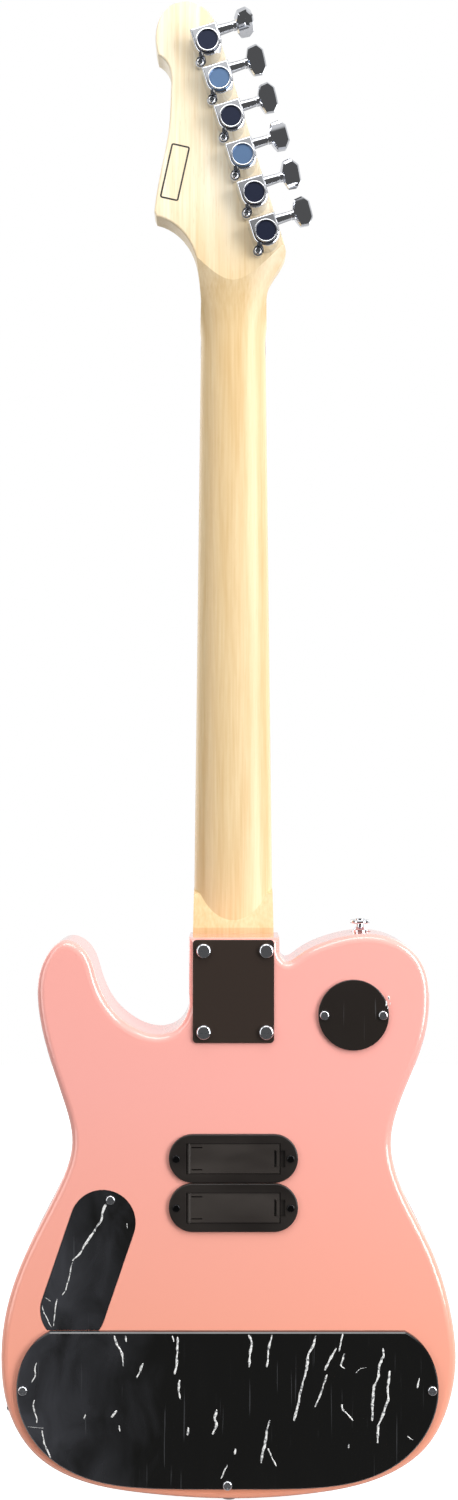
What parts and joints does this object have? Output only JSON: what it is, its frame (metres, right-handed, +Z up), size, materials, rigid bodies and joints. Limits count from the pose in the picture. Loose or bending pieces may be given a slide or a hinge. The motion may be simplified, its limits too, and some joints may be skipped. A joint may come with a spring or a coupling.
{
  "type": "solid-body electric guitar",
  "caption": "Single-cutaway solid-body electric guitar with bolt-on neck, geared tuners and a built-in battery amplifier under black back covers.",
  "frame": {"origin": "neck centre line at the nut, on the glue plane between fretboard and neck", "axes": "+X across the strings towards the treble (cutaway) side, +Y towards the back, +Z up the neck towards the headstock"},
  "size_m": [0.2924, 0.0733, 0.986],
  "materials": {
    "circuit_board": "green circuit board",
    "knob_black": "black",
    "battery_case": "plain dark can, no markings",
    "black_screw": "blackened steel",
    "box_black": "moulded black, fine grain",
    "door_black": "moulded black, fine grain",
    "terminal_board": "black fibre board with plated snaps",
    "pink_lacquer": "gloss pink polyester lacquer",
    "chrome": "bright chrome plate",
    "filmed_black": "black sheet still in its clear film",
    "marker": "pearl-like plastic",
    "dark_wood": "oiled dark hardwood",
    "fret_wire": "nickel silver",
    "maple": "clear satin maple",
    "black_mirror": "black nickel, near mirror",
    "nut": "bone-coloured plastic",
    "guard_white": "gloss white sheet",
    "pickup_black": "moulded black",
    "pot_steel": "plated steel",
    "saddle_steel": "plain steel",
    "grille_black": "black pressed steel",
    "speaker_frame": "black pressed steel and paper",
    "string_steel": "plain and wound steel",
    "cover_black": "gloss black sheet",
    "lever_tip": "cream tip on plated lever",
    "rod_steel": "plain steel",
    "smoked_chrome": "smoked mirror disc"
  },
  "bodies": {
    "guitar": {"amp_board": "circuit_board", "batteries": "battery_case", "battery_box_screws": "black_screw", "battery_boxes": "box_black", "battery_terminals": "terminal_board", "body": "pink_lacquer", "bridge_plate": "chrome", "bridge_screws": "chrome", "control_cover": "filmed_black", "cover_screws": "chrome", "electronics_cover": "filmed_black", "fixing_screws": "chrome", "fret_markers": "marker", "fretboard": "dark_wood", "frets": "fret_wire", "jack_plate": "chrome", "neck": "maple", "neck_plate": "black_mirror", "neck_screws": "chrome", "nut": "nut", "output_jack": "chrome", "pickguard": "guard_white", "pickup_covers": "pickup_black", "pickup_poles": "chrome", "pickup_ring": "pickup_black", "pots": "pot_steel", "saddle_screws": "chrome", "saddles": "saddle_steel", "speaker_grilles": "grille_black", "speakers": "speaker_frame", "strap_buttons": "chrome", "strap_screws": "chrome", "string_trees": "chrome", "strings": "string_steel", "switch_cover": "cover_black", "toggle_switch": "chrome", "truss_rod": "rod_steel", "tuner_bushings": "chrome", "tuner_caps": "smoked_chrome", "tuner_housings": "chrome", "tuner_screws": "chrome", "tuner_washers": "chrome"},
    "key_1": {"tuner_key_1": "chrome"},
    "post_1": {"string_post_1": "chrome"},
    "key_2": {"tuner_key_2": "chrome"},
    "post_2": {"string_post_2": "chrome"},
    "key_3": {"tuner_key_3": "chrome"},
    "post_3": {"string_post_3": "chrome"},
    "key_4": {"tuner_key_4": "chrome"},
    "post_4": {"string_post_4": "chrome"},
    "key_5": {"tuner_key_5": "chrome"},
    "post_5": {"string_post_5": "chrome"},
    "key_6": {"tuner_key_6": "chrome"},
    "post_6": {"string_post_6": "chrome"},
    "upper_door": {"battery_door_upper": "door_black"},
    "lower_door": {"battery_door_lower": "door_black"},
    "volume_control": {"volume_knob": "chrome"},
    "tone_control": {"tone_knob": "chrome"},
    "amp_control": {"amp_knob": "knob_black"},
    "switch_lever": {"toggle_lever": "lever_tip"}
  },
  "joints": [
    {"name": "tuner_key_1_turn", "type": "hinge", "parent": "guitar", "child": "key_1", "pos_m": [-0.01911, 0.0265, 0.04237], "axis": [-0.9563, 0, 0.2924], "continuous": true},
    {"name": "string_post_1_turn", "type": "hinge", "parent": "guitar", "child": "post_1", "pos_m": [-0.0213, 0.02, 0.0352], "axis": [0, 1, 0], "continuous": true},
    {"name": "tuner_key_2_turn", "type": "hinge", "parent": "guitar", "child": "key_2", "pos_m": [-0.01151, 0.0265, 0.06724], "axis": [-0.9563, 0, 0.2924], "continuous": true},
    {"name": "string_post_2_turn", "type": "hinge", "parent": "guitar", "child": "post_2", "pos_m": [-0.0137, 0.02, 0.06006], "axis": [0, 1, 0], "continuous": true},
    {"name": "tuner_key_3_turn", "type": "hinge", "parent": "guitar", "child": "key_3", "pos_m": [-0.0039, 0.0265, 0.0921], "axis": [-0.9563, 0, 0.2924], "continuous": true},
    {"name": "string_post_3_turn", "type": "hinge", "parent": "guitar", "child": "post_3", "pos_m": [-0.0061, 0.02, 0.08493], "axis": [0, 1, 0], "continuous": true},
    {"name": "tuner_key_4_turn", "type": "hinge", "parent": "guitar", "child": "key_4", "pos_m": [0.0037, 0.0265, 0.11696], "axis": [-0.9563, 0, 0.2924], "continuous": true},
    {"name": "string_post_4_turn", "type": "hinge", "parent": "guitar", "child": "post_4", "pos_m": [0.00151, 0.02, 0.10979], "axis": [0, 1, 0], "continuous": true},
    {"name": "tuner_key_5_turn", "type": "hinge", "parent": "guitar", "child": "key_5", "pos_m": [0.0113, 0.0265, 0.14183], "axis": [-0.9563, 0, 0.2924], "continuous": true},
    {"name": "string_post_5_turn", "type": "hinge", "parent": "guitar", "child": "post_5", "pos_m": [0.00911, 0.02, 0.13466], "axis": [0, 1, 0], "continuous": true},
    {"name": "tuner_key_6_turn", "type": "hinge", "parent": "guitar", "child": "key_6", "pos_m": [0.0189, 0.0265, 0.16669], "axis": [-0.9563, 0, 0.2924], "continuous": true},
    {"name": "string_post_6_turn", "type": "hinge", "parent": "guitar", "child": "post_6", "pos_m": [0.01671, 0.02, 0.15952], "axis": [0, 1, 0], "continuous": true},
    {"name": "upper_battery_door_hinge", "type": "hinge", "parent": "guitar", "child": "upper_door", "pos_m": [0.0284, 0.0489, -0.5647], "axis": [0, 0, -1], "range_deg": [0, 95]},
    {"name": "lower_battery_door_hinge", "type": "hinge", "parent": "guitar", "child": "lower_door", "pos_m": [0.0284, 0.0489, -0.5961], "axis": [0, 0, -1], "range_deg": [0, 95]},
    {"name": "volume_knob_turn", "type": "hinge", "parent": "guitar", "child": "volume_control", "pos_m": [0.08489, 0.003, -0.60989], "axis": [0, -1, 0], "range_deg": [-140, 140]},
    {"name": "tone_knob_turn", "type": "hinge", "parent": "guitar", "child": "tone_control", "pos_m": [0.0991, 0.003, -0.65153], "axis": [0, -1, 0], "range_deg": [-140, 140]},
    {"name": "amp_knob_turn", "type": "hinge", "parent": "guitar", "child": "amp_control", "pos_m": [0.0038, 0.003, -0.727], "axis": [0, -1, 0], "range_deg": [-140, 140]},
    {"name": "switch_lever_tilt", "type": "hinge", "parent": "guitar", "child": "switch_lever", "pos_m": [-0.0768, 0.0015, -0.4731], "axis": [1, 0, 0], "range_deg": [-15, 15]}
  ],
  "couplings": [
    {"joint": "string_post_1_turn", "follows": "tuner_key_1_turn", "ratio": -0.071429},
    {"joint": "string_post_2_turn", "follows": "tuner_key_2_turn", "ratio": -0.071429},
    {"joint": "string_post_3_turn", "follows": "tuner_key_3_turn", "ratio": -0.071429},
    {"joint": "string_post_4_turn", "follows": "tuner_key_4_turn", "ratio": -0.071429},
    {"joint": "string_post_5_turn", "follows": "tuner_key_5_turn", "ratio": -0.071429},
    {"joint": "string_post_6_turn", "follows": "tuner_key_6_turn", "ratio": -0.071429}
  ]
}
